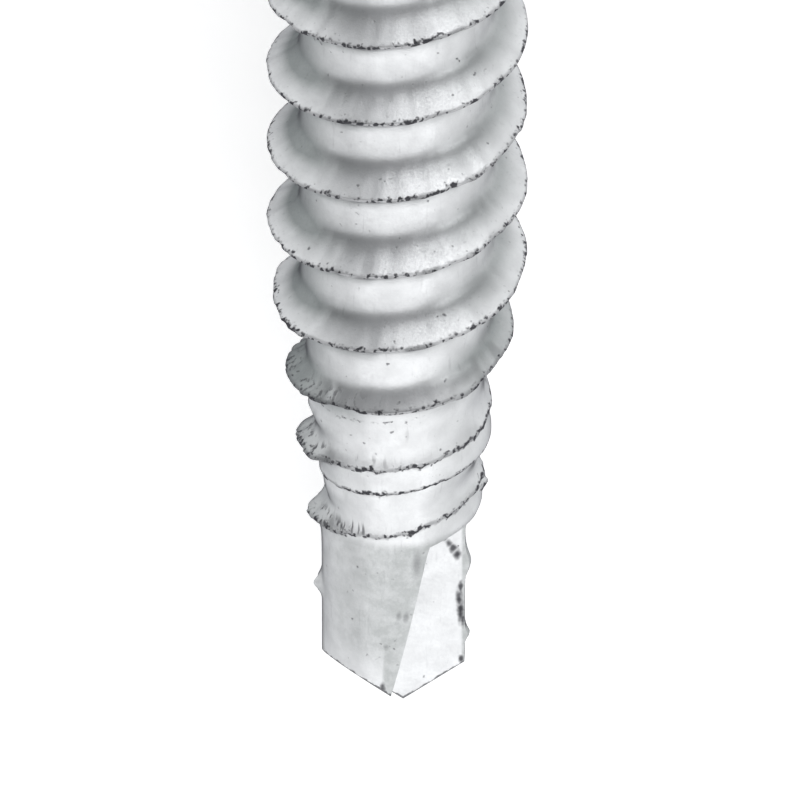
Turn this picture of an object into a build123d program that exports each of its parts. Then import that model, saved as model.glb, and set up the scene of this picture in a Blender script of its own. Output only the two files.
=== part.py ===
import os
from math import atan, cos, degrees, radians, sin, tan

from build123d import *

# A hexagon head self-drilling screw, forged and thread rolled from one wire.
# It is modelled standing on its tip, with the tip at the origin and the head up,
# and is then laid down as it comes to rest. Millimetres and degrees.

# Driving sizes
screw_length = 19.0             # from under the head to the tip

major_diameter = 3.5
minor_diameter = 2.6
thread_pitch = 1.3
crest_flat = 0.05
flank_angle = 60                # included
flank_height = 0.28             # straight part of each flank, from the crest inwards
root_blend_slope = 32           # the hollow at the foot of a flank, against the axis
thread_rooting = 0.07           # how deep the ridge is set into the core

neck_length = 1.2               # plain shank under the head
neck_diameter = 2.9
runout_turns = 0.4              # the ridge dies out over this part of a turn
runout_taper = 45

taper_start = 7.63              # height above the tip where the crests begin to draw in
tapered_turns = 3.45
crest_taper = 7.2               # half angle of the cone that the tapered crests follow
core_taper_start = 6.9          # height above the tip where the core begins to draw in

drill_diameter = 1.95
drill_length = 3.4              # tip to the end of the straight drill body
point_angle = 104               # included, between the two cutting lips
lip_relief = 35                 # how steeply the ground behind each lip falls away
flute_count = 2
flute_web = 0.24                # metal left between the two cutting faces
flute_corner = 0.68             # inner corner of the flute, beyond the axis at the tip
flute_slant = 13                # lean of the flutes against the axis
flute_opening = 64              # between the cutting face and the heel side
flute_hollow = 0.2              # radius in the flute's inner corner
flute_length = 2.85             # along the axis, from the tip to the shoulder that ends it
flute_shoulder = 25             # rise of that shoulder from the axis outwards

across_flats = 5.5
head_height = 2.6               # bearing face to the top
head_chamfer = 30
underhead_fillet = 0.32         # wide enough for the crests to pass a hole that seats here
fillet_clearance = 0.14         # straight neck left below the fillet

# Sizes that follow from them
crest_radius = major_diameter / 2
core_radius = minor_diameter / 2
drill_radius = drill_diameter / 2
thread_top = screw_length - neck_length
neck_flare = neck_diameter / 2 - core_radius + thread_rooting
neck_start = screw_length - underhead_fillet - fillet_clearance
head_top = screw_length + head_height
chamfer_reach = across_flats            # well outside the hexagon's corners
chamfer_drop = (chamfer_reach - across_flats / 2) * tan(radians(head_chamfer))
flute_reach = 2 * drill_diameter        # well outside the drill body
heel_reach = 3 * drill_diameter         # past the heel side of the cut
straight_turns = (thread_top - taper_start) / thread_pitch
full_turn = 360
half_turn = full_turn / 2


def ridge_outline(side):
    """Section of the thread ridge beside the axis, on the side +1 or -1, at height 0."""
    flank_spread = flank_height * tan(radians(flank_angle / 2))
    foot_radius = core_radius - thread_rooting
    blend_drop = crest_radius - flank_height - foot_radius
    half_widths = [
        (crest_radius, crest_flat / 2),
        (crest_radius - flank_height, crest_flat / 2 + flank_spread),
        (foot_radius, crest_flat / 2 + flank_spread + blend_drop / tan(radians(root_blend_slope))),
    ]
    upper = [(side * radius, half_width) for radius, half_width in half_widths]
    lower = [(radius, -half_width) for radius, half_width in reversed(upper)]
    return upper + lower


# The full thread, from where the taper starts up to the neck
with BuildPart() as straight_ridge:
    with BuildLine() as straight_path:
        Helix(thread_pitch, thread_top - taper_start, crest_radius, center=(0, 0, taper_start))
    with BuildSketch(Plane.XZ.shift_origin((0, 0, taper_start))):
        with BuildLine():
            Polyline(*ridge_outline(1), close=True)
        make_face()
    sweep(path=straight_path.wires()[0], is_frenet=True)

# Its last part of a turn under the neck, which sinks into the shank
with BuildPart() as runout_ridge:
    with BuildLine() as runout_path:
        Helix(
            thread_pitch / cos(radians(runout_taper)),
            runout_turns * thread_pitch,
            crest_radius,
            center=(0, 0, thread_top),
            cone_angle=-runout_taper,
        )
    with BuildSketch(Plane.XZ.shift_origin((0, 0, thread_top))):
        with BuildLine():
            Polyline(*ridge_outline(1), close=True)
        make_face()
    sweep(path=runout_path.wires()[0], is_frenet=True)

# The tapering turns, which wind down on a cone towards the drill point
with BuildPart() as tapered_ridge:
    with BuildLine() as tapered_path:
        Helix(
            thread_pitch / cos(radians(crest_taper)),
            tapered_turns * thread_pitch,
            crest_radius,
            center=(0, 0, taper_start),
            direction=(0, 0, -1),
            cone_angle=-crest_taper,
        )
    with BuildSketch(Plane.XZ.shift_origin((0, 0, taper_start))):
        with BuildLine():
            Polyline(*ridge_outline(-1), close=True)
        make_face()
    sweep(path=tapered_path.wires()[0], is_frenet=True)

# One flute of the drill point: the metal that the forging dies push aside
flute_lean = Plane(
    origin=(-flute_corner, 0, 0),
    x_dir=(cos(radians(flute_slant)), 0, -sin(radians(flute_slant))),
    z_dir=(sin(radians(flute_slant)), 0, cos(radians(flute_slant))),
)
flute_end = Plane(
    Location((0, 0, flute_length))
    * Rotation(0, 0, -flute_opening / 2)
    * Rotation(0, -flute_shoulder, 0)
)
with BuildPart() as flute:
    with BuildSketch(flute_lean.offset(-drill_diameter)):
        with BuildLine():
            FilletPolyline(
                (flute_reach, -flute_web / 2),
                (0, -flute_web / 2),
                (
                    flute_reach * cos(radians(flute_opening)),
                    -flute_web / 2 - flute_reach * sin(radians(flute_opening)),
                ),
                (flute_reach, -heel_reach),
                radius=flute_hollow,
                close=True,
            )
        make_face()
    extrude(amount=screw_length)
    split(bisect_by=flute_end, keep=Keep.BOTTOM)

with BuildPart() as upright:
    # Drill body and core, turned about the axis
    with BuildSketch(Plane.XZ):
        with BuildLine():
            Polyline(
                (0, 0),
                (drill_radius, 0),
                (drill_radius, drill_length),
                (core_radius, core_taper_start),
                (core_radius, screw_length),
                (0, screw_length),
                close=True,
            )
        make_face()
    revolve(axis=Axis.Z)

    # The rolled thread
    add(straight_ridge.part)
    with Locations(Rotation(0, 0, full_turn * straight_turns)):
        add(runout_ridge.part)
    with Locations(Rotation(0, 0, half_turn)):
        add(tapered_ridge.part)

    # Neck, which flares out of the core at 45 degrees
    with BuildSketch(Plane.XZ):
        with BuildLine():
            Polyline(
                (0, neck_start - neck_flare),
                (core_radius - thread_rooting, neck_start - neck_flare),
                (neck_diameter / 2, neck_start),
                (neck_diameter / 2, screw_length),
                (0, screw_length),
                close=True,
            )
        make_face()
    revolve(axis=Axis.Z)

    # The hexagon, with its top corners chamfered by a cone
    with BuildSketch(Plane.XY.offset(screw_length)):
        RegularPolygon(radius=across_flats / 2, side_count=6, major_radius=False)
    extrude(amount=head_height)
    neck_root = upright.edges().filter_by(GeomType.CIRCLE).filter_by_position(
        Axis.Z, screw_length, screw_length
    )
    fillet(neck_root, radius=underhead_fillet)
    with BuildSketch(Plane.XZ):
        with BuildLine():
            Polyline(
                (across_flats / 2, head_top),
                (chamfer_reach, head_top),
                (chamfer_reach, head_top - chamfer_drop),
                close=True,
            )
        make_face()
    revolve(axis=Axis.Z, mode=Mode.SUBTRACT)

    # The drill point: two flutes, and two flats that meet in the chisel edge
    with PolarLocations(0, flute_count):
        add(flute.part, mode=Mode.SUBTRACT)
    lip_slope = 1 / tan(radians(point_angle / 2))
    relief_slope = tan(radians(lip_relief))
    for side in (1, -1):
        split(
            bisect_by=Plane((0, 0, 0), z_dir=(side * lip_slope, side * relief_slope, 1)),
            keep=Keep.TOP,
        )

# It lies on one flat of the hexagon and on the last full crest that faces down,
# a quarter of a turn above the one where the taper starts
resting_crest = taper_start + thread_pitch / 4
rest_tilt = degrees(atan((across_flats / 2 - crest_radius) / (screw_length - resting_crest)))
lying = Plane(
    origin=(0, 0, 0),
    x_dir=(-1, 0, 0),
    z_dir=(0, -cos(radians(rest_tilt)), sin(radians(rest_tilt))),
)
laid = upright.part.moved(lying.location).bounding_box()
lying.origin = (-laid.center().X, -laid.center().Y, -laid.min.Z)

with BuildPart(lying) as screw:
    add(upright.part)

os.makedirs("parts", exist_ok=True)
screw.part.label = "screw"
export_step(screw.part, "parts/screw.step")
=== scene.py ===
"""A self drilling screw, lying on a pale floor: its rolled thread, forged point and finish."""

import math

import bpy
import numpy as np
from mathutils import Matrix, Vector, noise


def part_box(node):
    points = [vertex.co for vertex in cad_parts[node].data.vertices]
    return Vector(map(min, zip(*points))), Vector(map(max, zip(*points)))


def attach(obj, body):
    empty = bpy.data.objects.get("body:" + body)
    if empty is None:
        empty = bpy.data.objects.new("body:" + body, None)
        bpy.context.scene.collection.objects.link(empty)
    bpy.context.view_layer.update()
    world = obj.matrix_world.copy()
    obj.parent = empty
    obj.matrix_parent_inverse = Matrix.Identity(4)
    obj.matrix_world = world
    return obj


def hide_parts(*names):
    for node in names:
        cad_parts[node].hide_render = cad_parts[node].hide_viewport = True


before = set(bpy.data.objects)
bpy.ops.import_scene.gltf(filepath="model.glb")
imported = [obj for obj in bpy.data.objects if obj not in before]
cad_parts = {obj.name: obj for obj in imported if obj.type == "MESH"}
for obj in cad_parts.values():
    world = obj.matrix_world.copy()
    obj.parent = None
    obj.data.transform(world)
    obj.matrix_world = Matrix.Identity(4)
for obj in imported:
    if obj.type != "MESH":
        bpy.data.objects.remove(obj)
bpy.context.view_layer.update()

bl_info = {
    "name": "Self drilling screw",
    "version": (1, 0, 0),
    "blender": (4, 5, 0),
    "location": "3D View > Sidebar > Screw",
    "description": "Models a hexagon head self drilling screw with its thread and drill point",
    "category": "Add Mesh",
}

# The screw is shaped standing on its tip, in millimetres, and laid down at the end.
MILLIMETRE = 0.001
TAU = 2 * math.pi
UPRIGHT_NAME = "screw_blank"

# How finely the screw is built, with lengths in millimetres
BLANK_TURNS = 18
BLANK_TURNS_BELOW = 8           # how many of them lie below the start of the taper
BLANK_GAP = 0.001               # vertices of two turns closer than this are one
TIP_STOCK = 0.05                # left below the tip, for its flats to be ground from
CUT_GAP = 1e-5                  # a plane cuts through vertices closer to it than this
SEAM_GAP = 0.0005               # gaps and edges shorter than this go after the cuts
CHAMFER_FACETS = 192
HOLLOW_FACETS = 10              # in the flute's inner corner
SMOOTH_ANGLE = math.radians(32)          # sharper edges than this stay sharp

# Steps of the blank's outline: on either side of the crest, further above it, and about the fold
NEAR_CREST = (0.0, 0.03, 0.07, 0.12, 0.17, 0.21, 0.25, 0.29, 0.33, 0.37)
ABOVE_CREST = (0.42, 0.50)
ROUND_FOLD = (-0.02, 0.0, 0.015, 0.03, 0.06)

# The dies that forged the point flattened the ridge there, all of it below the first height
# and none of it above the second
PINCH_FULL = 4.95
PINCH_TOP = 6.6
PINCH_DEPTH = 0.23
PINCH_RIGHT = 0.65              # how much of it reaches the right side; the left stays clear
PINCH_BLEND = 0.75              # how much of the hollow at the ridge's foot it takes away
PINCHED_TOP_SLOPE = math.radians(76)     # half angles of a flattened ridge, above and below
PINCHED_UNDERCUT = math.radians(12)

# The lower end of the ridge
END_FADE = 0.3                  # it fades out over this height
END_DROP = 0.35
END_FALL = 2                    # slope with which it sinks into the core beyond
MARK_FADE = 0.2                 # its marks fade out over this height

# The forged point sits this far off the thread's axis
DRILL_SHIFT = -0.05
SHIFT_BAND = (2.9, 3.9)         # heights between which the shift dies out
TIP_SHIFT = -0.025

# The forging pushed the last turns up
CREST_LIFT = 0.155
LIFT_BAND = (2.3, 3.1, 3.1, 7.4)         # heights where it starts, is full, and dies out

# Unevenness of the crests
COARSE_NOISE = (3.0, 1.0)       # scale and seed
FINE_NOISE = (11.0, 7.0)
CREST_WANDER = 0.02             # in and out
FINE_WANDER = 0.45
CREST_SAG = 0.02                # up and down
TORN_TOP = 7.1                  # the flattened crests are torn below this height
TORN_CREST = 0.03
TORN_SIDE = math.radians(205)

# The fold that the dies left between the last two turns
FOLD_DROP = 0.50                # below the crest line by this much
FOLD_BAND = (3.75, 3.95, 4.75, 4.95)     # heights where it starts, is full, fades and ends
FOLD_HEIGHT = 0.04
FOLD_ROLL = 0.25                # how far the roll above it reaches
FOLD_GROOVE = 0.04              # and the groove below it
GROOVE_SHARE = 0.7              # depth of the groove against the height of the roll
FOLD_WANDER = 0.015             # unevenness, up and down

# The side that lies on the floor stays inside the cone of the crests
REST_MARGIN = 0.003
UNDERSIDE = 0.6                 # sine of the angle where that side begins

# Bulges and dents of the core where the point was pressed: angle, height, spread of each,
# and size
BULGES = (
    (math.radians(-10), 4.60, 0.9, 0.40, 0.17),
    (math.radians(-5), 3.30, 0.8, 0.28, 0.19),
    (math.radians(180), 3.50, 0.5, 0.10, -0.06),
    (math.radians(180), 5.05, 0.5, 0.15, 0.08),
)

# Burrs and dents left by the rolling dies: angle, height, spread of each, and size
BURR_WANDER = 0.5               # unevenness of their size
BURRS = (
    (math.radians(156), 6.90, 0.22, 0.10, 0.07),
    (math.radians(213), 7.10, 0.20, 0.10, 0.08),
    (math.radians(213), 5.80, 0.20, 0.10, 0.05),
    (math.radians(180), 5.45, 0.40, 0.10, -0.05),
    (math.radians(213), 4.45, 0.20, 0.10, 0.06),
    (math.radians(-25), 6.24, 0.25, 0.12, -0.06),
    (math.radians(180), 4.38, 0.40, 0.12, 0.03),
    (math.radians(180), 3.20, 0.14, 0.08, 0.12),
    (math.radians(0), 3.64, 0.35, 0.30, 0.07),
    (math.radians(0), 3.58, 0.12, 0.10, 0.12),
    (math.radians(181), 1.98, 0.14, 0.13, 0.10),
    (math.radians(-4), 2.36, 0.12, 0.20, 0.09),
    (math.radians(-4), 1.13, 0.10, 0.10, 0.06),
)

# Dark lines: half the width and the strength of each. Above a strength of 1 it turns black.
CREST_LINE = 0.08
TORN_LINE = 0.05                # so much wider where the crest is torn
LAST_CREST = 0.85               # strength on the last half turn
LAST_CREST_BAND = (3.4, 3.9)
FOLD_LINE = 0.07
FOLD_STRENGTH = 1.25
STEP_LINE = 0.05                # the step between two passes of the dies
STEP_STRENGTH = 0.70
STEP_DROP = 0.40                # below the crest line by this much
STEP_BAND = (4.9, 5.2, 5.9, 6.3)

# Places where the plate is black: rubbed nibs and edges, and painted shade at the right land's
# edge; angle, height, spread of each, and strength
BLACK_SPOTS = (
    (math.radians(-1), 3.68, 0.14, 0.07, 1.6),
    (math.radians(182), 3.10, 0.14, 0.06, 1.6),
    (math.radians(-8), 5.00, 0.10, 0.05, 1.5),
    # painted shade at the right land's edge, between the nibs
    (math.radians(0), 1.36, 0.14, 0.22, 1.5),
    (math.radians(181), 0.86, 0.10, 0.10, 1.2),
    (math.radians(0), 0.80, 0.10, 0.08, 1.4),
)

# Short ticks above the torn crests
TICK_SIDE = (0.3, 0.95)         # cosines against the torn side where they start and are full
TICK_BAND = (-0.04, 0.02, 0.12, 0.30)    # above the crest line

# Painted shade: a dark band in each hollow of the full thread, away from the crest line
BAND_PLACE = 0.31
BAND_SHIFT = 0.06               # so much nearer at the two sides
BAND_SPREAD = 0.16
BAND_STRENGTH = 0.60
BAND_SIDE = 0.7                 # cosine of the angle where it is full
FLANK_BAND = (0.08, 0.28)       # the sides below are dull from here on

# Painted shade on the sides of the thread, darkest on the left: 1 for right or -1 for left,
# the cosines where the shade starts and is full, and its strength
ROLLED_SIDE_SHADES = (
    (-1, 0.2, 0.8, 0.10),
    (-1, 0.6, 0.95, 0.60),
    (1, 0.5, 0.95, 0.15),
)
# Painted shade on the sides of the pressed, torn thread: side, start, full and strength, as above
PRESSED_RIGHT = (1, 0.2, 0.9, 0.20)
PRESSED_LEFT = (-1, 0.5, 1.0, 0.50)
PRESSED_LEFT_FROM = -0.1        # above the crest line
# Painted shade in patches on one side of the thread
SHADE_PATCHES = (                # height, spread and side
    (6.35, 0.40, (1, 0.3, 0.9, 0.45)),
    (5.85, 0.28, (-1, 0.25, 0.7, 0.60)),
    (4.35, 0.20, (-1, 0.5, 0.95, 0.40)),
)

# Dark nicks on the drill point, a crack above it, and painted shade at the right land's edge: place
# on the upright screw, radius, width over length, and strength
CHIPS = (
    ((0.58, -0.12, 2.88), 0.03, 1.0, 0.9),
    ((0.635, -0.12, 2.80), 0.04, 1.0, 0.9),
    ((0.70, -0.12, 2.72), 0.045, 0.8, 0.8),
    ((0.765, -0.12, 2.63), 0.045, 0.7, 0.9),
    ((0.82, -0.12, 2.53), 0.045, 0.6, 0.95),
    # painted shade: the dark strip at the right land's edge, between the nibs
    ((0.865, -0.12, 1.93), 0.025, 0.25, 0.9),
    ((0.845, -0.12, 1.74), 0.04, 0.25, 0.95),
    ((0.865, -0.12, 1.54), 0.04, 0.25, 1.0),
    ((0.895, -0.12, 1.38), 0.025, 0.3, 0.9),
    ((0.87, -0.12, 0.70), 0.03, 0.5, 0.9),
    ((-0.20, -0.95, 0.88), 0.035, 0.5, 0.9),
    ((-0.14, -1.02, 4.40), 0.02, 0.15, 0.9),
    ((-0.24, -1.00, 4.33), 0.015, 0.15, 0.7),
    ((0.27, -0.93, 3.00), 0.06, 0.3, 0.35),
    ((-0.88, -0.42, 2.92), 0.035, 0.4, 0.4),
    ((0.02, -0.97, 2.14), 0.035, 0.5, 0.35),
    ((0.12, -0.96, 2.10), 0.035, 0.5, 0.35),
    ((-0.15, -0.95, 1.58), 0.03, 0.6, 0.5),
)
CHIP_EDGE = (0.2, 1.7)          # a nick fades between these shares of its radius
CHIP_WANDER = 0.06              # unevenness of its edge

# The plate
SPECULAR_TINT = (0.35, 0.35, 0.37, 1)
DULL_PLATE = 0.88               # brightness of its cloudy patches
ROUGHNESS_SPREAD = (-0.06, 0.08)
DARK_ROUGHNESS = 0.25
LENGTHWISE = (1, 1, 0.12)       # stretches a pattern along the screw
GRAIN_RELIEF = 0.2              # shares of the bump's depth
DARK_RELIEF = -0.5
DRAWN_RELIEF = 0.3
BUMP_STRENGTH = 0.5
BUMP_DEPTH = 0.02

# The camera, the floor and the lights
VIEW_ELEVATION = math.radians(38.44)     # above the plane across the screw's axis
VIEW_WIDTH = 10.838                      # millimetres across the frame
VIEW_CENTRE = (0.04, 0.0, 5.1075)        # the upright point in the middle of the frame
LENS = 1400.0
SENSOR = 36.0
CLIP = (0.01, 20.0)                      # metres
FLOOR_SIZE = 3.0                         # metres
FLOOR_ROUGHNESS = 0.9
FLOOR_GLOW = 0.52                        # seen by the camera and in reflections only
WORLD_COLOUR = (0.97, 0.98, 1.0, 1)
WORLD_LIGHT = 0.33
LAMP_DISTANCE = 0.5                      # metres
# Each lamp: elevation, azimuth clockwise from the tip's side, width and height for its distance,
# and brightness
LAMPS = (
    ("tip_lamp", math.radians(44), math.radians(0), (1.3, 1.1), 1.2),
    ("left_lamp", math.radians(20), math.radians(50), (0.8, 0.9), 0.75),
    ("right_lamp", math.radians(20), math.radians(-50), (0.9, 1.0), 0.85),
    ("side_lamp", math.radians(40), math.radians(-100), (0.8, 0.7), 1.3),
    ("head_lamp", math.radians(17), math.radians(-172), (1.0, 0.6), 2.1),
)


class ScrewSizes(bpy.types.PropertyGroup):
    """Sizes of the screw, in millimetres, the same as those of its solid."""

    length: bpy.props.FloatProperty(
        name="Length", description="From under the head to the tip", default=19.0)
    crest_radius: bpy.props.FloatProperty(
        name="Crest radius", description="Over the full thread", default=1.75)
    core_radius: bpy.props.FloatProperty(
        name="Core radius", description="In the full thread's root", default=1.3)
    pitch: bpy.props.FloatProperty(
        name="Pitch", description="Rise of the thread in one turn", default=1.3)
    crest_flat: bpy.props.FloatProperty(
        name="Crest flat", description="Width of the crest", default=0.035)
    flank_angle: bpy.props.FloatProperty(
        name="Flank angle", description="Between the two flanks",
        default=math.radians(60), subtype="ANGLE")
    root_blend: bpy.props.FloatProperty(
        name="Root blend", description="How softly a flank runs into the root", default=0.31)
    taper_start: bpy.props.FloatProperty(
        name="Taper start", description="Height at which the crests draw in", default=7.63)
    crest_taper: bpy.props.FloatProperty(
        name="Crest taper", description="Half angle of the cone of crests",
        default=math.radians(7.2), subtype="ANGLE")
    core_taper_start: bpy.props.FloatProperty(
        name="Core taper start", description="Height at which the core draws in", default=6.9)
    thread_end: bpy.props.FloatProperty(
        name="Thread end", description="Height of the ridge's lower end", default=3.15)
    neck_length: bpy.props.FloatProperty(
        name="Neck length", description="Plain shank under the head", default=1.2)
    neck_radius: bpy.props.FloatProperty(
        name="Neck radius", description="Of the plain shank", default=1.45)
    neck_fillet: bpy.props.FloatProperty(
        name="Neck fillet", description="Radius under the head", default=0.32)
    runout_turns: bpy.props.FloatProperty(
        name="Run-out turns", description="Over which the ridge dies out", default=0.4)
    drill_radius: bpy.props.FloatProperty(
        name="Drill radius", description="Of the drill body", default=0.975)
    drill_length: bpy.props.FloatProperty(
        name="Drill length", description="Tip to the end of the straight body", default=3.4)
    point_angle: bpy.props.FloatProperty(
        name="Point angle", description="Between the two cutting lips",
        default=math.radians(104), subtype="ANGLE")
    lip_relief: bpy.props.FloatProperty(
        name="Lip relief", description="Slope of the ground behind each lip",
        default=math.radians(35), subtype="ANGLE")
    flute_web: bpy.props.FloatProperty(
        name="Flute web", description="Between the two cutting faces", default=0.24)
    flute_corner: bpy.props.FloatProperty(
        name="Flute corner", description="Inner corner, beyond the axis at the tip", default=0.68)
    flute_slant: bpy.props.FloatProperty(
        name="Flute slant", description="Lean against the axis",
        default=math.radians(13), subtype="ANGLE")
    flute_opening: bpy.props.FloatProperty(
        name="Flute opening", description="Between cutting face and heel side",
        default=math.radians(64), subtype="ANGLE")
    flute_hollow: bpy.props.FloatProperty(
        name="Flute hollow", description="Radius in its inner corner", default=0.2)
    flute_length: bpy.props.FloatProperty(
        name="Flute length", description="Tip to the shoulder, along the axis", default=2.85)
    flute_shoulder: bpy.props.FloatProperty(
        name="Flute shoulder", description="Rise of the shoulder outwards",
        default=math.radians(25), subtype="ANGLE")
    across_flats: bpy.props.FloatProperty(
        name="Across flats", description="Of the hexagon", default=5.5)
    head_height: bpy.props.FloatProperty(
        name="Head height", description="Bearing face to top", default=2.6)
    head_chamfer: bpy.props.FloatProperty(
        name="Head chamfer", description="Slope of the corners at the top",
        default=math.radians(30), subtype="ANGLE")
    turn_steps: bpy.props.IntProperty(
        name="Steps", description="Facets in one turn of the thread", default=144)


class ScrewFinish(bpy.types.PropertyGroup):
    """Colours and gloss of the plated steel."""

    plate: bpy.props.FloatVectorProperty(
        name="Plate", description="Colour of the plate",
        size=3, subtype="COLOR", default=(0.765, 0.775, 0.785))
    # The worn colour also paints the shade along the outline, on the crest line and at the right
    # land's edge
    worn_and_shade: bpy.props.FloatVectorProperty(
        name="Worn", description="Colour of scuffed crests and nicks",
        size=3, subtype="COLOR", default=(0.10, 0.10, 0.11))
    # The hollow colour is painted shade, for the thread's hollows and sides
    hollow: bpy.props.FloatVectorProperty(
        name="Hollow", description="Duller plate in the thread's hollows",
        size=3, subtype="COLOR", default=(0.29, 0.31, 0.31))
    # The drill colour is painted shade on the drill body's outside
    drill: bpy.props.FloatVectorProperty(
        name="Drill", description="Duller plate on the drill body",
        size=3, subtype="COLOR", default=(0.44, 0.455, 0.455))
    roughness: bpy.props.FloatProperty(
        name="Roughness", description="Of the clean plate", default=0.42)
    floor: bpy.props.FloatVectorProperty(
        name="Floor", description="Colour of the floor",
        size=3, subtype="COLOR", default=(0.86, 0.86, 0.86))


def smoothstep(low, high, value):
    """Rise from 0 to 1 between low and high."""
    t = np.clip((value - low) / (high - low), 0.0, 1.0)
    return t * t * (3 - 2 * t)


def band(value, start, full, fade, end):
    """1 between full and fade, and 0 outside start and end."""
    return smoothstep(start, full, value) * (1 - smoothstep(fade, end, value))


def soft_line(distance, half_width):
    """1 where the distance is 0, and 0 beyond half the line's width."""
    return 1 - smoothstep(0.0, half_width, np.abs(distance))


def side_shade(cosine, side, start, full, strength):
    """A shade on one side of the screw."""
    return strength * smoothstep(start, full, side * cosine)


def blend_over(first, second, softness):
    """The greater of two heights, with a hollow where they meet that dies out away from it."""
    gap = first - second
    blend = 0.5 * (first + second + np.sqrt(gap * gap + softness * softness))
    return blend - softness ** 2 / 4 / np.hypot(gap, softness)


def lumps(table, angle, height):
    """Sum of soft lumps on the round surface."""
    total = np.zeros_like(height)
    for at_angle, at_height, angle_spread, height_spread, size in table:
        turn = (angle - at_angle + math.pi) % TAU - math.pi
        rise = height - at_height
        total += size * np.exp(-(turn / angle_spread) ** 2 - (rise / height_spread) ** 2)
    return total


def wander(angle, height, scale, seed):
    """Smooth noise that follows the surface, about -1 to 1."""
    spots = np.column_stack((np.cos(angle) * scale, np.sin(angle) * scale, height * scale))
    return np.array([noise.noise(Vector(spot) + Vector((seed, 0, 0))) for spot in spots])


def select_only(piece):
    """Make one object the only selected and active one."""
    bpy.ops.object.select_all(action="DESELECT")
    piece.select_set(True)
    bpy.context.view_layer.objects.active = piece


def edit_all(piece):
    """Open one object in edit mode, with all of its mesh selected."""
    select_only(piece)
    bpy.ops.object.mode_set(mode="EDIT")
    bpy.ops.mesh.select_all(action="SELECT")


def draw_outline(name, points):
    """Draw an open outline by extruding one vertex from point to point."""
    bpy.ops.object.select_all(action="DESELECT")
    bpy.ops.mesh.primitive_plane_add(size=1.0, location=points[0])
    piece = bpy.context.object
    piece.name = name
    bpy.ops.object.transform_apply(location=True, rotation=False, scale=False)
    edit_all(piece)
    bpy.ops.mesh.merge(type="CENTER")
    last = Vector(points[0])
    for point in points[1:]:
        step = Vector(point) - last
        bpy.ops.mesh.extrude_region_move(TRANSFORM_OT_translate={"value": step})
        last = Vector(point)
    bpy.ops.object.mode_set(mode="OBJECT")
    return piece


def apply_modifier(piece, kind, **settings):
    """Add a modifier, set it up and apply it."""
    select_only(piece)
    modifier = piece.modifiers.new(kind.lower(), kind)
    for key, value in settings.items():
        setattr(modifier, key, value)
    bpy.ops.object.modifier_apply(modifier=modifier.name)


def combine(piece, other, operation):
    """Join a closed piece to another, or cut it away, and delete it."""
    apply_modifier(piece, "BOOLEAN", operation=operation, object=other, solver="MANIFOLD")
    bpy.data.objects.remove(other, do_unlink=True)


def trim(piece, place, normal):
    """Cut off what lies on the normal's side of a plane and close the cut."""
    edit_all(piece)
    bpy.ops.mesh.bisect(
        plane_co=place, plane_no=normal, use_fill=True, clear_outer=True, threshold=CUT_GAP)
    bpy.ops.object.mode_set(mode="OBJECT")


def close_seams(piece):
    """Merge the doubled vertices that the cuts leave, and drop faces of no size."""
    edit_all(piece)
    bpy.ops.mesh.remove_doubles(threshold=SEAM_GAP)
    bpy.ops.mesh.dissolve_degenerate(threshold=SEAM_GAP)
    bpy.ops.object.mode_set(mode="OBJECT")


def vertex_places(piece):
    """The places of a piece's vertices, one row each."""
    places = np.empty(len(piece.data.vertices) * 3)
    piece.data.vertices.foreach_get("co", places)
    return places.reshape(-1, 3)


def store_marks(piece, **marks):
    """Keep one number per vertex under each name, for the finish to read."""
    for name, values in marks.items():
        mark = piece.data.attributes.new(name, "FLOAT", "POINT")
        mark.data.foreach_set("value", np.clip(values, 0, 2).astype(np.float32))


def store_places(piece):
    """Keep where each vertex sits on the upright screw, for the finish to read."""
    places = vertex_places(piece)
    upright = piece.data.attributes.new("upright", "FLOAT_VECTOR", "POINT")
    upright.data.foreach_set("vector", places.astype(np.float32).ravel())


def thread_top(sizes):
    """Height at which the full thread begins to run out."""
    return sizes.length - sizes.neck_length


def drawn_in(sizes, height):
    """How far the cone of crests lies inside the full thread."""
    return np.clip(sizes.taper_start - height, 0.0, None) * math.tan(sizes.crest_taper)


def helix_offset(sizes, angle, height):
    """How far a point lies above the nearest crest, along the axis."""
    crest = sizes.taper_start + sizes.pitch * angle / TAU
    return (height - crest + sizes.pitch / 2) % sizes.pitch - sizes.pitch / 2


def core_profile(sizes, height):
    """Radius of the metal under the thread, from the drill body up to the head."""
    neck_start = thread_top(sizes) + sizes.runout_turns * sizes.pitch
    neck_rise = sizes.neck_radius - sizes.core_radius
    fillet_start = sizes.length - sizes.neck_fillet
    radius = np.interp(
        height,
        [sizes.drill_length, sizes.core_taper_start, neck_start, neck_start + neck_rise],
        [sizes.drill_radius, sizes.core_radius, sizes.core_radius, sizes.neck_radius],
    )
    up = np.clip(height - fillet_start, 0.0, sizes.neck_fillet)
    return radius + sizes.neck_fillet - np.sqrt(sizes.neck_fillet ** 2 - up ** 2)


def pinch_share(angle, height):
    """How far the forging flattened the thread, from 0 to 1."""
    across = PINCH_RIGHT * (0.5 + 0.5 * np.cos(angle))
    around = 1 - (1 - across) * np.cos(angle) ** 4
    return around * (1 - smoothstep(PINCH_FULL, PINCH_TOP, height))


def crest_profile(sizes, angle, height):
    """Radius of the crest line, at the height where it passes."""
    end = sizes.thread_end - END_FADE
    runout = np.clip(height - thread_top(sizes), 0.0, None)
    fade = END_DROP * (1 - smoothstep(end, sizes.thread_end, height))
    beyond = np.clip(end - height, 0.0, None)
    pinch = PINCH_DEPTH * pinch_share(angle, height)
    return sizes.crest_radius - drawn_in(sizes, height) - runout - pinch - fade - END_FALL * beyond


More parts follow.
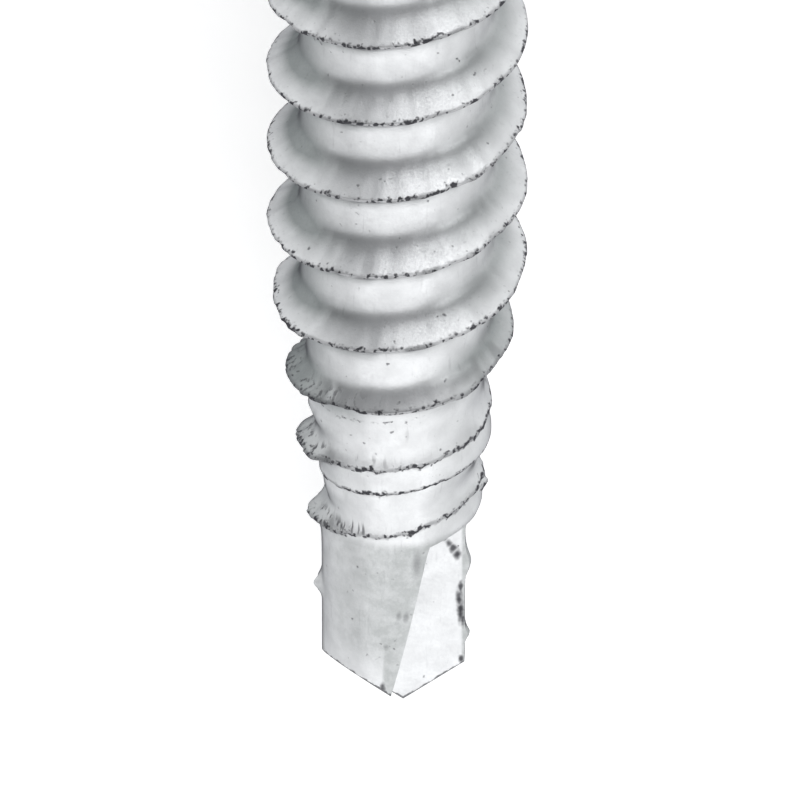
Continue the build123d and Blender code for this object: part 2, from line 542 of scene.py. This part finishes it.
class RolledThread:
    """What the rolling and forging make of each vertex of the turned blank."""

    def __init__(self, sizes, places):
        self.sizes = sizes
        self.angle = np.arctan2(places[:, 1], places[:, 0])
        self.height = places[:, 2]
        offset = helix_offset(sizes, self.angle, self.height)
        self.crest_height = self.height - offset
        self.coarse = wander(self.angle, self.crest_height, *COARSE_NOISE)
        self.fine = wander(self.angle, self.crest_height, *FINE_NOISE)
        self.torn = 1 - smoothstep(PINCH_FULL, TORN_TOP, self.crest_height)
        self.offset = offset + CREST_SAG * (1 + self.torn) * (self.coarse + self.fine)
        self.fold = helix_offset(sizes, self.angle, self.height + FOLD_DROP)
        self.fold += FOLD_WANDER * self.fine
        self.fold_share = band(self.height, *FOLD_BAND)
        self.lifted = self.height + CREST_LIFT * band(self.height, *LIFT_BAND)
        mark_start = sizes.thread_end - MARK_FADE
        self.on_thread = smoothstep(mark_start, sizes.thread_end, self.lifted)
        self.on_thread *= self.lifted < thread_top(sizes) + sizes.pitch / 2

    def ridge(self):
        """Radius of the ridge, whose flanks go on down under the core, and how soft its foot is."""
        sizes = self.sizes
        share = pinch_share(self.angle, self.crest_height)
        torn_side = 0.5 + 0.5 * np.cos(self.angle - TORN_SIDE)
        crest = crest_profile(sizes, self.angle, self.crest_height)
        crest += CREST_WANDER * (self.coarse + FINE_WANDER * self.fine)
        crest -= TORN_CREST * self.torn * torn_side * np.clip(self.fine, 0, 1)
        half_flank = sizes.flank_angle / 2
        slope_above = half_flank + (PINCHED_TOP_SLOPE - half_flank) * share
        slope_below = half_flank + (PINCHED_UNDERCUT - half_flank) * share
        slope = np.where(self.offset > 0, slope_above, slope_below)
        depth = np.clip(np.abs(self.offset) - sizes.crest_flat / 2, 0, None) / np.tan(slope)
        return crest - depth, sizes.root_blend * (1 - PINCH_BLEND * share)

    def radius(self):
        """Radius of the rolled surface, with its fold, bulges and burrs."""
        core = core_profile(self.sizes, self.height) + lumps(BULGES, self.angle, self.height)
        radius = blend_over(core, *self.ridge())
        roll = np.exp(-self.fold / FOLD_ROLL)
        groove = -GROOVE_SHARE * np.exp(self.fold / FOLD_GROOVE)
        radius += FOLD_HEIGHT * self.fold_share * np.where(self.fold > 0, roll, groove)
        radius += lumps(BURRS, self.angle, self.height) * (1 + BURR_WANDER * self.fine)
        limit = self.sizes.crest_radius - REST_MARGIN - drawn_in(self.sizes, self.height)
        rolled = (self.height < thread_top(self.sizes)) & (self.height > PINCH_FULL)
        underside = np.sin(self.angle) > UNDERSIDE
        return np.where(rolled & underside, np.minimum(radius, limit), radius)

    def places(self):
        """Where the vertices go, one row each."""
        radius = self.radius()
        shift = DRILL_SHIFT * (1 - smoothstep(*SHIFT_BAND, self.height))
        across = radius * np.cos(self.angle) + shift
        return np.column_stack((across, radius * np.sin(self.angle), self.lifted))

    def crest_mark(self):
        """Where the plate is dark: rubbed crests, the fold, a step and single spots, one of them
        painted shade at the right land's edge.
        """
        line = self.on_thread * soft_line(self.offset, CREST_LINE + TORN_LINE * self.torn)
        line *= LAST_CREST + (1 - LAST_CREST) * smoothstep(*LAST_CREST_BAND, self.lifted)
        fold = FOLD_STRENGTH * self.fold_share * soft_line(self.fold, FOLD_LINE)
        step = STEP_STRENGTH * band(self.lifted, *STEP_BAND)
        step *= soft_line(self.offset + STEP_DROP, STEP_LINE)
        spots = lumps(BLACK_SPOTS, self.angle, self.lifted)
        return np.maximum.reduce((line, fold, step, spots))

    def torn_mark(self):
        """Where short ticks cross the torn crests."""
        side = smoothstep(*TICK_SIDE, np.cos(self.angle - TORN_SIDE))
        return self.torn * self.on_thread * side * band(self.offset, *TICK_BAND)

    def hollow_shade_mark(self):
        """Painted shade between the ridges and on the thread's sides, darkest on the left."""
        cosine = np.cos(self.angle)
        away = np.abs(self.offset)
        place = BAND_PLACE - BAND_SHIFT * np.abs(cosine)
        rolled = BAND_STRENGTH * smoothstep(0.0, BAND_SIDE, np.abs(cosine))
        rolled *= np.exp(-((away - place) / BAND_SPREAD) ** 2)
        sides = sum(side_shade(cosine, *side) for side in ROLLED_SIDE_SHADES)
        rolled += sides * smoothstep(*FLANK_BAND, away)
        pressed = side_shade(cosine, *PRESSED_RIGHT)
        pressed += side_shade(cosine, *PRESSED_LEFT) * (self.offset > PRESSED_LEFT_FROM)
        hollow = self.on_thread * (rolled * (1 - self.torn) + pressed * self.torn)
        for at_height, spread, side in SHADE_PATCHES:
            rise = (self.lifted - at_height) / spread
            hollow += np.exp(-rise ** 2) * side_shade(cosine, *side)
        return hollow


def ridge_outline(sizes):
    """One pitch of the thread's outline, from root to root over the crest."""
    half_pitch = sizes.pitch / 2
    half_flat = sizes.crest_flat / 2
    above = [half_flat + step for step in NEAR_CREST + ABOVE_CREST] + [half_pitch]
    below = [half_flat + step for step in NEAR_CREST]
    below += [FOLD_DROP + step for step in ROUND_FOLD] + [half_pitch]
    heights = [-rise for rise in reversed(below)] + above
    base = sizes.taper_start - BLANK_TURNS_BELOW * sizes.pitch
    return [(sizes.crest_radius, 0, base + rise) for rise in heights]


class SCREW_OT_thread(bpy.types.Operator):
    """Turn the blank on a helix, and roll the thread into it down to the drill body"""

    bl_idname = "screw.thread"
    bl_label = "Roll the thread"

    def execute(self, context):
        sizes = context.scene.screw_sizes
        piece = draw_outline(UPRIGHT_NAME, ridge_outline(sizes))
        apply_modifier(
            piece, "SCREW", axis="Z", angle=TAU, screw_offset=sizes.pitch,
            iterations=BLANK_TURNS, steps=sizes.turn_steps, render_steps=sizes.turn_steps,
        )
        edit_all(piece)
        bpy.ops.mesh.remove_doubles(threshold=BLANK_GAP)
        bpy.ops.mesh.normals_make_consistent(inside=False)
        bpy.ops.object.mode_set(mode="OBJECT")
        rolled = RolledThread(sizes, vertex_places(piece))
        piece.data.vertices.foreach_set("co", rolled.places().ravel())
        piece.data.update()
        store_marks(
            piece, crest=rolled.crest_mark(), torn=rolled.torn_mark(),
            hollow=rolled.hollow_shade_mark())
        trim(piece, (0, 0, -TIP_STOCK), (0, 0, -1))
        trim(piece, (0, 0, sizes.length), (0, 0, 1))
        return {"FINISHED"}


class SCREW_OT_head(bpy.types.Operator):
    """Forge the hexagon head with its chamfered corners"""

    bl_idname = "screw.head"
    bl_label = "Forge the head"

    def execute(self, context):
        sizes = context.scene.screw_sizes
        shank = bpy.data.objects[UPRIGHT_NAME]
        half_flats = sizes.across_flats / 2
        bpy.ops.object.select_all(action="DESELECT")
        bpy.ops.mesh.primitive_cylinder_add(
            vertices=6, radius=half_flats / math.cos(math.pi / 6), depth=sizes.head_height,
            location=(0, 0, sizes.length + sizes.head_height / 2),
            rotation=(0, 0, math.pi / 2))
        hexagon = bpy.context.object
        bpy.ops.object.transform_apply(location=True, rotation=True, scale=True)
        chamfer_rise = sizes.across_flats * math.tan(sizes.head_chamfer)
        bpy.ops.mesh.primitive_cone_add(
            vertices=CHAMFER_FACETS, radius1=half_flats + sizes.across_flats,
            radius2=half_flats, depth=chamfer_rise,
            location=(0, 0, sizes.length + sizes.head_height - chamfer_rise / 2))
        chamfer = bpy.context.object
        bpy.ops.object.transform_apply(location=True, rotation=True, scale=True)
        combine(hexagon, chamfer, "INTERSECT")
        combine(shank, hexagon, "UNION")
        return {"FINISHED"}


def flute_section(sizes):
    """The flute's section: cutting face, hollow corner and heel side, closed well outside."""
    reach = 4 * sizes.drill_radius
    heel_reach = 1.5 * reach
    opening = sizes.flute_opening
    centre_x = sizes.flute_hollow / math.tan(opening / 2)
    centre_y = -sizes.flute_hollow
    points = [(reach, 0.0)]
    for step in range(HOLLOW_FACETS + 1):
        turn = math.pi / 2 + (math.pi - opening) * step / HOLLOW_FACETS
        points.append((
            centre_x + sizes.flute_hollow * math.cos(turn),
            centre_y + sizes.flute_hollow * math.sin(turn),
        ))
    points.append((reach * math.cos(opening), -reach * math.sin(opening)))
    points.append((reach, -heel_reach))
    return points


def make_flute(sizes):
    """The cutter of one flute: a leaning prism that ends at the flute's shoulder."""
    below = 2 * sizes.drill_radius
    run = 2 * sizes.flute_length + below
    points = [(x, y - sizes.flute_web / 2, -below) for x, y in flute_section(sizes)]
    piece = draw_outline("flute_cutter", points)
    edit_all(piece)
    bpy.ops.mesh.edge_face_add()
    bpy.ops.mesh.extrude_region_move(TRANSFORM_OT_translate={"value": (0, 0, run)})
    bpy.ops.mesh.select_all(action="SELECT")
    bpy.ops.mesh.normals_make_consistent(inside=False)
    bpy.ops.object.mode_set(mode="OBJECT")
    lean = Matrix.Rotation(sizes.flute_slant, 4, "Y")
    piece.data.transform(Matrix.Translation((-sizes.flute_corner, 0, 0)) @ lean)
    rise = math.sin(sizes.flute_shoulder)
    trim(piece, (0, 0, sizes.flute_length), (
        -rise * math.cos(sizes.flute_opening / 2),
        rise * math.sin(sizes.flute_opening / 2),
        math.cos(sizes.flute_shoulder),
    ))
    return piece


def lip_normal(sizes, side):
    """Downward normal of the flat behind one cutting lip, with a length of 1 along the axis."""
    lip_slope = 1 / math.tan(sizes.point_angle / 2)
    return -side * lip_slope, -side * math.tan(sizes.lip_relief), -1


class SCREW_OT_point(bpy.types.Operator):
    """Press the two flutes into the drill body and grind its two flats"""

    bl_idname = "screw.point"
    bl_label = "Forge the drill point"

    def execute(self, context):
        sizes = context.scene.screw_sizes
        shank = bpy.data.objects[UPRIGHT_NAME]
        for turn in (0, math.pi):
            flute = make_flute(sizes)
            flute.data.transform(Matrix.Rotation(turn, 4, "Z"))
            combine(shank, flute, "DIFFERENCE")
        for side in (1, -1):
            trim(shank, (TIP_SHIFT, 0, 0), lip_normal(sizes, side))
        close_seams(shank)
        return {"FINISHED"}


def lying_matrix(sizes):
    """From the upright screw in millimetres to where it lies in the frame, in metres."""
    resting_crest = sizes.taper_start + sizes.pitch / 4
    half_flats = sizes.across_flats / 2
    tilt = math.atan((half_flats - sizes.crest_radius) / (sizes.length - resting_crest))
    low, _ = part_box("screw")
    along = Vector((0, -math.cos(tilt), math.sin(tilt)))
    down = Vector((0, -math.sin(tilt), -math.cos(tilt)))
    across = Vector((-1, 0, 0))
    turn = Matrix((across, down, along)).transposed().to_4x4()
    head_reach = (sizes.length + sizes.head_height) * math.cos(tilt)
    tip = Vector((
        0,
        low[1] / MILLIMETRE + head_reach + half_flats * math.sin(tilt),
        low[2] / MILLIMETRE + half_flats * math.cos(tilt) - sizes.length * math.sin(tilt),
    ))
    return Matrix.Scale(MILLIMETRE, 4) @ Matrix.Translation(tip) @ turn


def attribute_node(tree, name, output="Fac"):
    """What is kept under a name for each vertex."""
    node = tree.nodes.new("ShaderNodeAttribute")
    node.attribute_name = name
    return node.outputs[output]


def stretch_node(tree, place, scale):
    """A place stretched along the axes."""
    node = tree.nodes.new("ShaderNodeMapping")
    node.inputs["Scale"].default_value = scale
    tree.links.new(place, node.inputs["Vector"])
    return node.outputs["Vector"]


def noise_node(tree, place, scale, detail, roughness=0.5):
    """A noise texture that reads the given place."""
    node = tree.nodes.new("ShaderNodeTexNoise")
    node.inputs["Scale"].default_value = scale
    node.inputs["Detail"].default_value = detail
    node.inputs["Roughness"].default_value = roughness
    tree.links.new(place, node.inputs["Vector"])
    return node.outputs["Fac"]


def cell_node(tree, place, scale):
    """Distance from the middle of the nearest of many scattered cells."""
    node = tree.nodes.new("ShaderNodeTexVoronoi")
    node.inputs["Scale"].default_value = scale
    tree.links.new(place, node.inputs["Vector"])
    return node.outputs["Distance"]


def vector_node(tree, operation, place, other):
    """A number from a place and a fixed vector."""
    node = tree.nodes.new("ShaderNodeVectorMath")
    node.operation = operation
    node.inputs[1].default_value = other
    tree.links.new(place, node.inputs[0])
    return node.outputs["Value"]


def ramp_node(tree, value, low, high, start=0.0, end=1.0):
    """Map a value from low..high to start..end, with soft ends."""
    node = tree.nodes.new("ShaderNodeMapRange")
    node.interpolation_type = "SMOOTHSTEP"
    for key, number in (("From Min", low), ("From Max", high), ("To Min", start), ("To Max", end)):
        node.inputs[key].default_value = number
    tree.links.new(value, node.inputs["Value"])
    return node.outputs["Result"]


def maths_node(tree, operation, result, *others):
    """Arithmetic on sockets or numbers, taken in turn."""
    for other in others:
        node = tree.nodes.new("ShaderNodeMath")
        node.operation = operation
        for slot, item in enumerate((result, other)):
            if isinstance(item, (int, float)):
                node.inputs[slot].default_value = item
            else:
                tree.links.new(item, node.inputs[slot])
        result = node.outputs[0]
    return result


def colour_mix(tree, share, first, second):
    """Mix two colours, given as sockets or numbers."""
    node = tree.nodes.new("ShaderNodeMix")
    node.data_type = "RGBA"
    tree.links.new(share, node.inputs["Factor"])
    for key, item in (("A", first), ("B", second)):
        socket = [one for one in node.inputs if one.name == key and one.type == "RGBA"][0]
        if isinstance(item, tuple):
            socket.default_value = item
        else:
            tree.links.new(item, socket)
    return [one for one in node.outputs if one.type == "RGBA"][0]


def drill_shade_share(tree, place):
    """Painted shade on the round outside of the drill body, full beside the flute and higher up,
    weaker to the left, with a random mottle; 0 in the flutes and above.
    """
    parts = tree.nodes.new("ShaderNodeSeparateXYZ")
    tree.links.new(place, parts.inputs["Vector"])
    side, depth, height = (parts.outputs[key] for key in "XYZ")
    across = maths_node(tree, "SUBTRACT", side, DRILL_SHIFT)
    squares = maths_node(
        tree, "ADD", maths_node(tree, "MULTIPLY", across, across),
        maths_node(tree, "MULTIPLY", depth, depth))
    outside = ramp_node(tree, maths_node(tree, "SQRT", squares, 0.0), low=0.92, high=0.965)
    below = ramp_node(tree, height, low=3.25, high=3.45, start=1.0, end=0.0)
    upper = ramp_node(tree, height, low=1.0, high=1.7, start=0.1)
    beside_flute = ramp_node(tree, side, low=-0.23, high=-0.16)
    dull_tone_and_shade = maths_node(tree, "MAXIMUM", upper, beside_flute)
    to_left = ramp_node(tree, side, low=-1.1, high=0.15, start=0.45)
    mottle = noise_node(tree, place, scale=5.0, detail=5.0, roughness=0.65)
    mottle = ramp_node(tree, mottle, low=0.3, high=0.7, start=0.65, end=1.15)
    dull_tone_and_shade = maths_node(tree, "MULTIPLY", dull_tone_and_shade, to_left, mottle)
    return maths_node(tree, "MULTIPLY", maths_node(tree, "MULTIPLY", outside, below), dull_tone_and_shade)


def lip_share(tree, place, sizes):
    """Dark along the edges of the ground tip, 0 elsewhere."""
    heights = []
    for side in (1, -1):
        upward = tuple(-part for part in lip_normal(sizes, side))
        height = vector_node(tree, "DOT_PRODUCT", place, upward)
        heights.append(maths_node(tree, "SUBTRACT", height, upward[0] * TIP_SHIFT))
    rough = maths_node(tree, "MULTIPLY", noise_node(tree, place, scale=9.0, detail=3.0), 0.12)
    near = maths_node(tree, "SUBTRACT", maths_node(tree, "MINIMUM", *heights), rough)
    return ramp_node(tree, near, low=-0.045, high=-0.02, start=0.75, end=0.0)


def chip_share(tree, place):
    """Dark in the nicks of the cutting face, and painted shade at the right land's edge, with
    ragged edges.
    """
    rough = noise_node(tree, place, scale=10.0, detail=1.0)
    rough = maths_node(tree, "MULTIPLY", rough, CHIP_WANDER)
    rough = maths_node(tree, "SUBTRACT", rough, CHIP_WANDER / 2)
    shares = []
    for (x, y, z), radius, squeeze, strength in CHIPS:
        squeezed = stretch_node(tree, place, (1, 1, squeeze))
        away = vector_node(tree, "DISTANCE", squeezed, (x, y, z * squeeze))
        away = maths_node(tree, "ADD", away, rough)
        inner, outer = (radius * share for share in CHIP_EDGE)
        shares.append(ramp_node(tree, away, low=inner, high=outer, start=strength, end=0.0))
    return maths_node(tree, "MAXIMUM", *shares)


def crest_share(tree, place):
    """Dark scuffs and rows of beads, which are wear, and a thin grey line along the crests, which
    is painted shade that dulls their glints.
    """
    crest = attribute_node(tree, "crest")
    patches = noise_node(tree, place, scale=2.5, detail=1.0)
    speckle = noise_node(tree, place, scale=14.0, detail=1.0)
    speckle = maths_node(
        tree, "ADD", maths_node(tree, "MULTIPLY", patches, 0.9),
        maths_node(tree, "MULTIPLY", speckle, 1.9), maths_node(tree, "MULTIPLY", crest, 0.8))
    scuff = ramp_node(tree, speckle, low=1.93, high=2.33)
    beads = ramp_node(tree, cell_node(tree, place, scale=13.0), 0.22, 0.50, start=1.0, end=0.0)
    dense = noise_node(tree, place, scale=2.7, detail=2.0)
    dense = ramp_node(tree, dense, low=0.38, high=0.62, start=0.25)
    on_line = ramp_node(tree, crest, low=0.3, high=0.75)
    beads = maths_node(tree, "MULTIPLY", beads, dense, on_line)
    # Painted shade: an even grey line on every crest, which dulls the lamps' glints there
    line = ramp_node(tree, crest, low=0.50, high=0.95, end=0.42)
    black = ramp_node(tree, crest, low=1.05, high=1.4)
    return maths_node(tree, "MAXIMUM", scuff, beads, line, black)


def scratch_share(tree, place, lengthwise):
    """Dark ticks on the torn crests, small spots, and fine scratches along the screw."""
    ticks = noise_node(tree, lengthwise, scale=11.0, detail=3.0)
    ticks = ramp_node(tree, ticks, low=0.54, high=0.64, end=0.8)
    ticks = maths_node(tree, "MULTIPLY", ticks, attribute_node(tree, "torn"))
    spots = noise_node(tree, place, scale=9.0, detail=1.0)
    spots = ramp_node(tree, spots, low=0.73, high=0.83, end=0.6)
    scratches = noise_node(tree, lengthwise, scale=16.0, detail=3.0)
    scratches = ramp_node(tree, scratches, low=0.60, high=0.80, end=0.15)
    return maths_node(tree, "MAXIMUM", ticks, spots, scratches)


def rim_shade_share(tree):
    """Painted shade where the surface turns away from the camera, a dark outline."""
    rim = tree.nodes.new("ShaderNodeLayerWeight")
    rim.inputs["Blend"].default_value = 0.5
    return ramp_node(tree, rim.outputs["Facing"], low=0.75, high=0.95, end=0.8)


def plated_steel(sizes, finish):
    """Satin zinc plate with dark scuffs on the crests, fine scratches and small spots, and painted
    shade in the hollows, on the drill body, along the crests and at the outline.
    """
    material = bpy.data.materials.new("plated_steel")
    material.use_nodes = True
    tree = material.node_tree
    shader = tree.nodes["Principled BSDF"]
    shader.inputs["Metallic"].default_value = 1.0
    shader.inputs["Specular Tint"].default_value = SPECULAR_TINT
    place = attribute_node(tree, "upright", "Vector")
    lengthwise = stretch_node(tree, place, LENGTHWISE)
    # dark holds wear, and painted shade along the outline, the crest line and the right land's edge
    dark = maths_node(
        tree, "MAXIMUM", crest_share(tree, place), scratch_share(tree, place, lengthwise),
        lip_share(tree, place, sizes), chip_share(tree, place), rim_shade_share(tree))

    cloud = ramp_node(tree, noise_node(tree, place, scale=3.2, detail=5.0), low=0.3, high=0.7)
    dull_tone_and_shade = (*(DULL_PLATE * part for part in finish.plate), 1)
    colour = colour_mix(tree, cloud, (*finish.plate, 1), dull_tone_and_shade)
    # Paint the shade in the thread's hollows and on its sides
    colour = colour_mix(tree, attribute_node(tree, "hollow"), colour, (*finish.hollow, 1))
    # Paint the shade on the drill body
    colour = colour_mix(tree, drill_shade_share(tree, place), colour, (*finish.drill, 1))
    colour = colour_mix(tree, dark, colour, (*finish.worn_and_shade, 1))
    tree.links.new(colour, shader.inputs["Base Color"])

    grain = noise_node(tree, place, scale=30.0, detail=4.0, roughness=0.6)
    smooth, coarse = (finish.roughness + step for step in ROUGHNESS_SPREAD)
    rough = ramp_node(tree, grain, low=0.2, high=0.8, start=smooth, end=coarse)
    rough = maths_node(tree, "ADD", rough, maths_node(tree, "MULTIPLY", dark, DARK_ROUGHNESS))
    tree.links.new(rough, shader.inputs["Roughness"])

    drawn = noise_node(tree, lengthwise, scale=9.0, detail=4.0)
    relief = maths_node(
        tree, "ADD", maths_node(tree, "MULTIPLY", grain, GRAIN_RELIEF),
        maths_node(tree, "MULTIPLY", dark, DARK_RELIEF),
        maths_node(tree, "MULTIPLY", drawn, DRAWN_RELIEF))
    bump = tree.nodes.new("ShaderNodeBump")
    bump.inputs["Strength"].default_value = BUMP_STRENGTH
    bump.inputs["Distance"].default_value = BUMP_DEPTH * MILLIMETRE
    tree.links.new(relief, bump.inputs["Height"])
    tree.links.new(bump.outputs["Normal"], shader.inputs["Normal"])
    return material


class SCREW_OT_finish(bpy.types.Operator):
    """Lay the screw down, smooth it and plate it"""

    bl_idname = "screw.finish"
    bl_label = "Plate and lay down"

    def execute(self, context):
        scene = context.scene
        piece = bpy.data.objects[UPRIGHT_NAME]
        store_places(piece)
        piece.data.transform(lying_matrix(scene.screw_sizes))
        piece.data.update()
        piece.name = "plated_screw"
        piece.data.materials.clear()
        piece.data.materials.append(plated_steel(scene.screw_sizes, scene.screw_finish))
        select_only(piece)
        bpy.ops.object.shade_smooth_by_angle(angle=SMOOTH_ANGLE)
        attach(piece, "root")
        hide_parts("screw")
        return {"FINISHED"}


def floor_material(finish):
    """Pale and matt, with a glow of its own that lights nothing."""
    material = bpy.data.materials.new("floor")
    material.use_nodes = True
    tree = material.node_tree
    shader = tree.nodes["Principled BSDF"]
    shader.inputs["Base Color"].default_value = (*finish.floor, 1)
    shader.inputs["Roughness"].default_value = FLOOR_ROUGHNESS
    shader.inputs["Emission Color"].default_value = (1, 1, 1, 1)
    ray = tree.nodes.new("ShaderNodeLightPath")
    kinds = ("Is Camera Ray", "Is Glossy Ray", "Is Transmission Ray")
    seen = maths_node(tree, "MAXIMUM", *(ray.outputs[kind] for kind in kinds))
    glow = maths_node(tree, "MULTIPLY", seen, FLOOR_GLOW)
    tree.links.new(glow, shader.inputs["Emission Strength"])
    return material


def add_camera(scene):
    """Look at the point from above the tip, with almost no perspective."""
    lying = lying_matrix(scene.screw_sizes)
    turn = lying.to_3x3()
    target = lying @ Vector(VIEW_CENTRE)
    toward = turn @ Vector((0, -math.cos(VIEW_ELEVATION), math.sin(VIEW_ELEVATION)))
    toward.normalize()
    head_up = (turn @ Vector((0, 0, 1))).normalized()
    right = head_up.cross(toward).normalized()
    up = toward.cross(right).normalized()
    distance = VIEW_WIDTH * MILLIMETRE * LENS / SENSOR
    camera_data = bpy.data.cameras.new("camera")
    camera_data.lens = LENS
    camera_data.sensor_width = SENSOR
    camera_data.clip_start, camera_data.clip_end = CLIP
    camera = bpy.data.objects.new("camera", camera_data)
    scene.collection.objects.link(camera)
    facing = Matrix((right, up, toward)).transposed().to_4x4()
    camera.matrix_world = Matrix.Translation(target + toward * distance) @ facing
    scene.camera = camera


def add_lamps(scene):
    """Set the soft lamps around the point, as bright as each is large."""
    for name, elevation, azimuth, (width, height), brightness in LAMPS:
        lamp_data = bpy.data.lights.new(name, "AREA")
        lamp_data.shape = "ELLIPSE"
        lamp_data.size = width * LAMP_DISTANCE
        lamp_data.size_y = height * LAMP_DISTANCE
        lamp_data.energy = brightness * math.pi ** 2 * lamp_data.size * lamp_data.size_y / 4
        lamp = bpy.data.objects.new(name, lamp_data)
        scene.collection.objects.link(lamp)
        toward = Vector((
            math.cos(elevation) * math.sin(azimuth),
            math.cos(elevation) * math.cos(azimuth),
            math.sin(elevation),
        ))
        lamp.location = toward * LAMP_DISTANCE
        lamp.rotation_euler = toward.to_track_quat("Z", "Y").to_euler()


class SCREW_OT_stage(bpy.types.Operator):
    """Set up the floor, the soft lights and the camera"""

    bl_idname = "screw.stage"
    bl_label = "Set the stage"

    def execute(self, context):
        scene = context.scene
        bpy.ops.object.select_all(action="DESELECT")
        bpy.ops.mesh.primitive_plane_add(size=FLOOR_SIZE, location=(0, 0, 0))
        floor = bpy.context.object
        floor.name = "floor"
        floor.data.materials.append(floor_material(scene.screw_finish))
        add_camera(scene)
        add_lamps(scene)
        scene.world = bpy.data.worlds.new("world")
        scene.world.use_nodes = True
        background = scene.world.node_tree.nodes["Background"]
        background.inputs["Color"].default_value = WORLD_COLOUR
        background.inputs["Strength"].default_value = WORLD_LIGHT
        scene.view_settings.view_transform = "Standard"
        return {"FINISHED"}


class SCREW_PT_panel(bpy.types.Panel):
    """Lists the steps in order, with the sizes and the finish"""

    bl_label = "Self drilling screw"
    bl_idname = "SCREW_PT_panel"
    bl_space_type = "VIEW_3D"
    bl_region_type = "UI"
    bl_category = "Screw"

    def draw(self, context):
        for operator in OPERATORS:
            self.layout.operator(operator.bl_idname)
        for settings in (context.scene.screw_sizes, context.scene.screw_finish):
            box = self.layout.box()
            for key in settings.__annotations__:
                box.prop(settings, key)


OPERATORS = (SCREW_OT_thread, SCREW_OT_head, SCREW_OT_point, SCREW_OT_finish, SCREW_OT_stage)
CLASSES = (ScrewSizes, ScrewFinish, *OPERATORS, SCREW_PT_panel)


def register():
    """Register the classes and hang the settings on the scene."""
    for item in CLASSES:
        bpy.utils.register_class(item)
    bpy.types.Scene.screw_sizes = bpy.props.PointerProperty(type=ScrewSizes)
    bpy.types.Scene.screw_finish = bpy.props.PointerProperty(type=ScrewFinish)


def unregister():
    """Take everything away again."""
    del bpy.types.Scene.screw_finish
    del bpy.types.Scene.screw_sizes
    for item in reversed(CLASSES):
        bpy.utils.unregister_class(item)


def main():
    """Make the screw and its stage."""
    register()
    bpy.ops.screw.thread()
    bpy.ops.screw.head()
    bpy.ops.screw.point()
    bpy.ops.screw.finish()
    bpy.ops.screw.stage()


if __name__ == "__main__":
    main()
